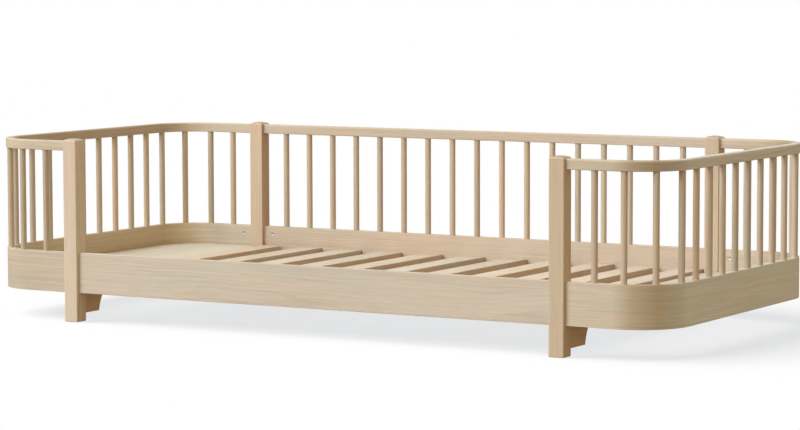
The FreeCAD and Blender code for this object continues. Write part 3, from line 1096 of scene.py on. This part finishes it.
def slat(number, draw):
    node = f"slat_{number:02d}"
    low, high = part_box(node)
    clear_of_posts = low.x > -POST_INNER_X and high.x < POST_INNER_X
    reach = RAIL_INNER_Y - SLAT_GAP - high.y if clear_of_posts else 0.0
    piece = box_bar(f"{node}_wood", node, "y", SLAT_EDGE, SLAT_EASE, reach)
    place = Vector((log_place("slat", number), draw.uniform(*SLAT_ASIDE), draw.uniform(*SLAT_PITH)))
    face = drawn_tint(draw, SLAT_BRIGHT, SLAT_WARM)
    # the slat's sides get painted shade
    painted_side = shaded(face, SLAT_SIDE_PAINTED_SHADE)

    def grain(index, co):
        return Vector((co.y, co.x - low.x, co.z - low.z)) + place

    def tint(index, co):
        return face if co.z > high.z - SLAT_SHADE_DEPTH else painted_side

    dress(piece, SLAT_WOOD, [node], grain, tint)


def slats():
    draw = random.Random(SLAT_SEED)
    for number in range(1, SLATS + 1):
        slat(number, draw)


LEDGER_EDGE = 1.0 * MM
LEDGER_EASE = 0.8 * MM
TAPE_EDGE = 0.3 * MM


def ledger(node, along, number):
    """A ledger or cleat under the deck."""
    piece = box_bar(f"{node}_wood", node, along, LEDGER_EDGE, LEDGER_EASE)
    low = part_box(node)[0]
    start = log_place("ledger", number)

    def grain(index, co):
        length, across = (co.x, co.y - low.y) if along == "x" else (co.y, co.x - low.x)
        return Vector((start + length, across, co.z - low.z)) + LEDGER_PITH

    dress(piece, OAK, [node], grain, same_tint(TINTS["ledger"]))


def ledgers():
    along_x = [f"{ROW_NAMES[row]}_ledger" for row in (FRONT, BACK)]
    along_x += [f"{SIDE_NAMES[side]}_{ROW_NAMES[row]}_cleat" for side, row in CORNERS]
    along_y = [f"{SIDE_NAMES[side]}_end_ledger" for side in (LEFT, RIGHT)]
    for number, node in enumerate(along_x + along_y):
        ledger(node, "x" if node in along_x else "y", number)


def slat_tape(row):
    node = f"{ROW_NAMES[row]}_slat_tape"
    piece = box_bar(f"{node}_cotton", node, "x", TAPE_EDGE, 0.0)
    dress(piece, TAPE, [node], lambda index, co: co.copy(), same_tint(PLAIN))


def loose_tenons():
    """Their solids stay, hidden in the wood, and get a material."""
    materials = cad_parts["loose_tenons"].data.materials
    materials.clear()
    materials.append(BEECH)


def build_bed():
    for side, row in CORNERS:
        post(side, row)
    for row in (FRONT, BACK):
        low_rail(row)
    back_top_rail()
    for side in (LEFT, RIGHT):
        end_plank(side)
        end_top_rail(side)
        cross_beam(side)
        end_board(side)
    all_spindles()
    barrel_nuts()
    slats()
    ledgers()
    for row in (FRONT, BACK):
        slat_tape(row)
    loose_tenons()


# Studio: a pale floor and backdrop, soft cool light from the front left and from above, and warm
# light all round

STAGE_RADIUS = 150.0
BACKDROP_RADIUS = 0.98 * STAGE_RADIUS
BACKDROP_SEGMENTS = 48
BACKDROP_GLOW = 1.05
BLACK = (0.0, 0.0, 0.0, 1.0)
WHITE = (1.0, 1.0, 1.0, 1.0)
FLOOR_SHADE = (0.735, 0.740, 0.750, 1.0)
SHADE_AZIMUTH = 45  # degrees, towards the light that the bed keeps off the floor
SHADE_ELEVATION = 25
SHADE_REACH = 0.9  # metres
SHADE_SAMPLES = 32
SHADE_DEEP = 0.55  # the open share of the view to that light where the shade is full
SHADE_CLEAR = 0.92  # and where it ends
BOARD_DEEP = 0.35  # the open share under the end boards
BOARD_SHADE = 0.50  # how far the shade is taken back there
SKY_COLOUR = (0.684, 0.578, 0.414, 1.0)
GROUND_COLOUR = (0.365, 0.279, 0.171, 1.0)
HORIZON = 0.05  # the height over which the ground's colour turns into the sky's, either way

# (azimuth, elevation, strength, colour, spread) of the far lights, angles in degrees
KEY_LIGHT = (30, 35, 2.95, (0.766, 0.873, 1.0), 48)
TOP_LIGHT = (150, 60, 0.75, (0.60, 0.78, 1.0), 60)


def source_direction(azimuth, elevation):
    """The direction to a light. Azimuth 0 is in front of the bed and 90 at its left."""
    turn, rise = math.radians(azimuth), math.radians(elevation)
    return Vector((-math.sin(turn) * math.cos(rise), -math.cos(turn) * math.cos(rise), math.sin(rise)))


def glow(name, strength):
    """A material that only gives off light."""
    graph = new_material(name)
    graph.shader.inputs["Base Color"].default_value = BLACK
    graph.shader.inputs["Specular IOR Level"].default_value = 0.0
    graph.shader.inputs["Emission Color"].default_value = WHITE
    graph.shader.inputs["Emission Strength"].default_value = strength
    return graph


def seen_by_camera_only(piece):
    """Keeps a piece of the studio from lighting or shading the bed."""
    piece.visible_diffuse = False
    piece.visible_glossy = False
    piece.visible_transmission = False
    piece.visible_shadow = False


def floor():
    """A pale floor, shaded softly where the bed stands between it and the light from the front left.
    The shade is deepest under the slats and a little paler under the end boards."""
    rim = [(STAGE_RADIUS * x, STAGE_RADIUS * y, 0) for x, y in ((-1, -1), (1, -1), (1, 1), (-1, 1))]
    piece = mesh_object("studio_floor", rim, [(0, 1, 2, 3)])
    graph = glow("studio_floor", 1.0)
    towards = dict(enumerate(source_direction(SHADE_AZIMUTH, SHADE_ELEVATION)))
    normal = graph.node("ShaderNodeCombineXYZ", towards).outputs[0]
    inputs = {"Distance": SHADE_REACH, "Normal": normal}
    cover = graph.node("ShaderNodeAmbientOcclusion", inputs, samples=SHADE_SAMPLES).outputs["AO"]
    open_floor = graph.span(cover, SHADE_DEEP, SHADE_CLEAR)
    under_board = graph.span(cover, SHADE_DEEP, BOARD_DEEP, 0.0, BOARD_SHADE)
    lit = graph.maths("MAXIMUM", open_floor, under_board)
    graph.put(graph.shader.inputs["Emission Color"], graph.mix(lit, FLOOR_SHADE, WHITE))
    piece.data.materials.append(graph.owner)
    seen_by_camera_only(piece)


def backdrop():
    """A white dome round the studio."""
    bm = bmesh.new()
    bmesh.ops.create_uvsphere(
        bm, u_segments=BACKDROP_SEGMENTS, v_segments=BACKDROP_SEGMENTS // 2, radius=BACKDROP_RADIUS,
    )
    piece = bmesh_object("studio_backdrop", bm)
    piece.data.materials.append(glow("studio_backdrop", BACKDROP_GLOW).owner)
    seen_by_camera_only(piece)


def sky():
    """Light from all round, paler above than below."""
    world = bpy.data.worlds.new("studio")
    graph = Graph(world, "Background")
    direction = graph.node("ShaderNodeTexCoord").outputs["Generated"]
    height = graph.span(graph.split(direction)[2], -HORIZON, HORIZON)
    graph.put(graph.shader.inputs["Color"], graph.mix(height, GROUND_COLOUR, SKY_COLOUR))
    bpy.context.scene.world = world


def sun(name, azimuth, elevation, strength, colour, spread):
    """A soft far light."""
    lamp = bpy.data.lights.new(name, "SUN")
    lamp.energy = strength
    lamp.color = colour
    lamp.angle = math.radians(spread)
    towards = source_direction(azimuth, elevation)
    add_object(name, lamp).rotation_euler = (-towards).to_track_quat("-Z", "Y").to_euler()


def studio():
    floor()
    backdrop()
    sky()
    sun("key", *KEY_LIGHT)
    sun("top", *TOP_LIGHT)
    bpy.context.scene.view_settings.view_transform = "Standard"
    bpy.context.scene.view_settings.look = "None"


IMAGE_WIDTH = 800
FOCAL_PIXELS = 2930.79
SENSOR = 36.0
CLIP_END = 400.0
CAMERA_PLACE = Vector((4.0237, -6.8845, 0.9778))  # metres
CAMERA_YAW = 0.52736  # radians
CAMERA_PITCH = 0.0865
CAMERA_ROLL = -0.00238


def camera():
    """The photograph's camera: its place, and the directions of its view, right and up."""
    lens = bpy.data.cameras.new("camera")
    lens.sensor_width = SENSOR
    lens.lens = FOCAL_PIXELS / IMAGE_WIDTH * SENSOR
    lens.clip_end = CLIP_END
    eye = add_object("camera", lens)
    level = math.cos(CAMERA_PITCH)
    view = Vector((-math.sin(CAMERA_YAW) * level, math.cos(CAMERA_YAW) * level, -math.sin(CAMERA_PITCH)))
    right = Vector((math.cos(CAMERA_YAW), math.sin(CAMERA_YAW), 0.0))
    up = right.cross(view)
    turned_right = right * math.cos(CAMERA_ROLL) + up * math.sin(CAMERA_ROLL)
    turned_up = up * math.cos(CAMERA_ROLL) - right * math.sin(CAMERA_ROLL)
    axes = Matrix((turned_right, turned_up, -view)).transposed().to_4x4()
    eye.matrix_world = Matrix.Translation(CAMERA_PLACE) @ axes
    bpy.context.scene.camera = eye


build_bed()
studio()
camera()
